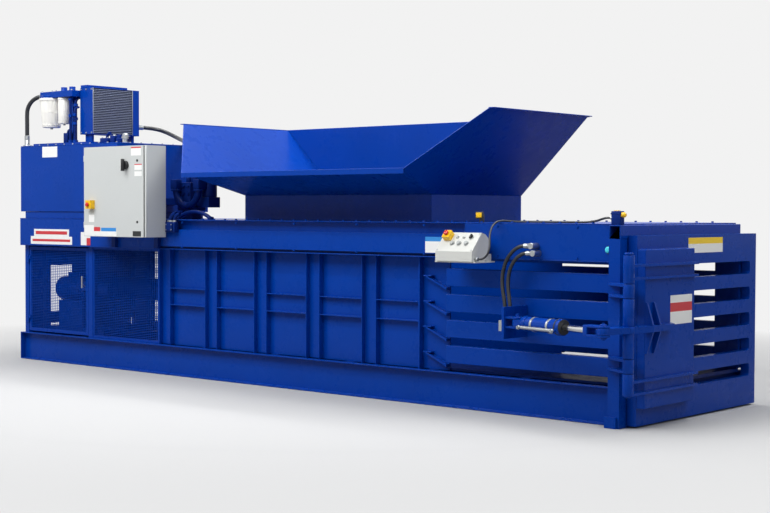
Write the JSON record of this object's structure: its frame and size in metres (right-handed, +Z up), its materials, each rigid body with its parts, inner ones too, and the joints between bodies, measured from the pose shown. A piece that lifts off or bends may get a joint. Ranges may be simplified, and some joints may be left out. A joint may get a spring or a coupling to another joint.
{
  "type": "recycling baler",
  "caption": "Horizontal baler on a channel base with a flared feed hopper, ribbed press chamber, slotted bale chamber, swinging end door with hydraulic lever, oil tank, cooler and controls.",
  "frame": {"origin": "middle of the base frame's footprint, on the floor plane", "axes": "+X along the machine towards the bale door, +Y away from the control side, +Z up"},
  "size_m": [8.319, 2.5437, 3.092],
  "materials": {
    "blue_paint": "gloss",
    "dark_blue_paint": "gloss",
    "white_plastic": "satin",
    "black_aluminium": "matte",
    "black_plastic": "satin",
    "grey_paint": "satin",
    "ivory_paint": "satin",
    "yellow_plastic": "gloss",
    "red_plastic": "gloss",
    "grey_plastic": "gloss",
    "black_rubber": "matte",
    "bright_steel": "satin",
    "rod_chrome": "polished",
    "plated_steel": "satin"
  },
  "bodies": {
    "machine_frame": {"base_rails": "blue_paint", "base_cross_members": "dark_blue_paint", "chamber_floor": "dark_blue_paint", "side_walls": "blue_paint", "wall_ribs": "blue_paint", "upper_beams": "blue_paint", "beam_covers": "blue_paint", "chamber_bars": "blue_paint", "tie_guides": "blue_paint", "end_posts": "blue_paint", "door_header": "blue_paint", "roof_plates": "blue_paint", "cage_posts": "blue_paint", "cage_panels": "dark_blue_paint", "hopper_neck": "blue_paint", "hopper_walls": "blue_paint", "oil_tank": "blue_paint", "power_unit_base": "blue_paint", "pump_set": "blue_paint", "valve_manifold": "dark_blue_paint", "filter_heads": "blue_paint", "filter_bowls": "white_plastic", "cooler_shroud": "blue_paint", "cooler_core": "black_aluminium", "cabinet_posts": "dark_blue_paint", "cabinet_box": "grey_paint", "console_box": "ivory_paint", "console_estop_housing": "yellow_plastic", "hinge_pin": "bright_steel", "door_cylinder_bracket": "blue_paint", "main_cylinder": "blue_paint", "cylinder_mounts": "dark_blue_paint", "door_sensors": "yellow_plastic", "hose_fittings": "plated_steel", "suction_hose": "black_rubber", "cooler_hose": "black_rubber", "door_hoses": "black_rubber", "console_cable": "black_rubber"},
    "ram_assembly": {"ram": "dark_blue_paint", "main_rod": "rod_chrome"},
    "end_door_assembly": {"end_door": "blue_paint", "door_skin": "blue_paint", "door_knuckles": "blue_paint", "door_lever": "blue_paint"},
    "door_cylinder_body": {"door_cylinder_barrel": "blue_paint"},
    "door_rod_body": {"door_cylinder_rod": "rod_chrome"},
    "cage_door_body": {"cage_door": "blue_paint"},
    "cage_latch_body": {"cage_latch": "bright_steel"},
    "cooler_fan_body": {"cooler_fan": "black_plastic"},
    "cabinet_door_body": {"cabinet_door": "grey_paint", "cabinet_estop_housing": "yellow_plastic"},
    "cabinet_latch_upper_body": {"cabinet_latch_upper": "black_plastic"},
    "cabinet_latch_lower_body": {"cabinet_latch_lower": "black_plastic"},
    "disconnect_body": {"disconnect_handle": "black_plastic"},
    "cabinet_estop_body": {"cabinet_estop": "red_plastic"},
    "console_estop_body": {"console_estop": "red_plastic"},
    "console_button_left_body": {"console_button_left": "grey_plastic"},
    "console_button_middle_body": {"console_button_middle": "grey_plastic"},
    "console_button_right_body": {"console_button_right": "grey_plastic"},
    "console_selector_body": {"console_selector": "black_plastic"}
  },
  "joints": [
    {"name": "ram_slide", "type": "slide", "parent": "machine_frame", "child": "ram_assembly", "axis": [1, 0, 0], "range_m": [0, 2.6]},
    {"name": "end_door_swing", "type": "hinge", "parent": "machine_frame", "child": "end_door_assembly", "pos_m": [4.185, -1.22, 0.795], "axis": [0, 0, -1], "range_deg": [0, 90]},
    {"name": "door_cylinder_swing", "type": "hinge", "parent": "machine_frame", "child": "door_cylinder_body", "pos_m": [3.125, -1.2, 0.795], "axis": [0, 0, 1], "range_deg": [0, 18.44]},
    {"name": "door_rod_slide", "type": "slide", "parent": "door_cylinder_body", "child": "door_rod_body", "axis": [0.9598, -0.2807, 0], "range_m": [-0.27, 0]},
    {"name": "cage_door_swing", "type": "hinge", "parent": "machine_frame", "child": "cage_door_body", "pos_m": [-3.961, -0.942, 0.8], "axis": [0, 0, -1], "range_deg": [0, 110]},
    {"name": "cage_latch_turn", "type": "hinge", "parent": "cage_door_body", "child": "cage_latch_body", "pos_m": [-2.938, -0.928, 0.865], "axis": [0, 1, 0], "range_deg": [0, 90]},
    {"name": "cooler_fan_spin", "type": "hinge", "parent": "machine_frame", "child": "cooler_fan_body", "pos_m": [-3.13, -0.5315, 2.8025], "axis": [1, 0, 0], "continuous": true},
    {"name": "cabinet_door_swing", "type": "hinge", "parent": "machine_frame", "child": "cabinet_door_body", "pos_m": [-2.468, -1.289, 1.9], "axis": [0, 0, -1], "range_deg": [0, 110]},
    {"name": "cabinet_latch_upper_turn", "type": "hinge", "parent": "cabinet_door_body", "child": "cabinet_latch_upper_body", "pos_m": [-1.582, -1.3, 2.211], "axis": [0, 1, 0], "range_deg": [0, 90]},
    {"name": "cabinet_latch_lower_turn", "type": "hinge", "parent": "cabinet_door_body", "child": "cabinet_latch_lower_body", "pos_m": [-1.582, -1.3, 1.583], "axis": [0, 1, 0], "range_deg": [0, 90]},
    {"name": "disconnect_turn", "type": "hinge", "parent": "cabinet_door_body", "child": "disconnect_body", "pos_m": [-1.76137, -1.3, 2.16802], "axis": [0, 1, 0], "range_deg": [0, 90]},
    {"name": "cabinet_estop_push", "type": "slide", "parent": "cabinet_door_body", "child": "cabinet_estop_body", "axis": [0, 1, 0], "range_m": [0, 0.006], "stiffness_N_per_m": 400, "springref_m": -0.002},
    {"name": "console_estop_push", "type": "slide", "parent": "machine_frame", "child": "console_estop_body", "axis": [0, 0.7586, -0.6516], "range_m": [0, 0.006], "stiffness_N_per_m": 400, "springref_m": -0.002},
    {"name": "console_button_left_push", "type": "slide", "parent": "machine_frame", "child": "console_button_left_body", "axis": [0, 0.7586, -0.6516], "range_m": [0, 0.006], "stiffness_N_per_m": 400, "springref_m": -0.002},
    {"name": "console_button_middle_push", "type": "slide", "parent": "machine_frame", "child": "console_button_middle_body", "axis": [0, 0.7586, -0.6516], "range_m": [0, 0.006], "stiffness_N_per_m": 400, "springref_m": -0.002},
    {"name": "console_button_right_push", "type": "slide", "parent": "machine_frame", "child": "console_button_right_body", "axis": [0, 0.7586, -0.6516], "range_m": [0, 0.006], "stiffness_N_per_m": 400, "springref_m": -0.002},
    {"name": "console_selector_turn", "type": "hinge", "parent": "machine_frame", "child": "console_selector_body", "pos_m": [2.64, -1.194, 1.48658], "axis": [0, -0.7586, 0.6516], "range_deg": [-45, 45]}
  ],
  "couplings": [
    {"joint": "door_cylinder_swing", "follows": "end_door_swing", "ratio": 0.20433},
    {"joint": "door_rod_slide", "follows": "end_door_swing", "m_per_rad": -0.17122}
  ]
}
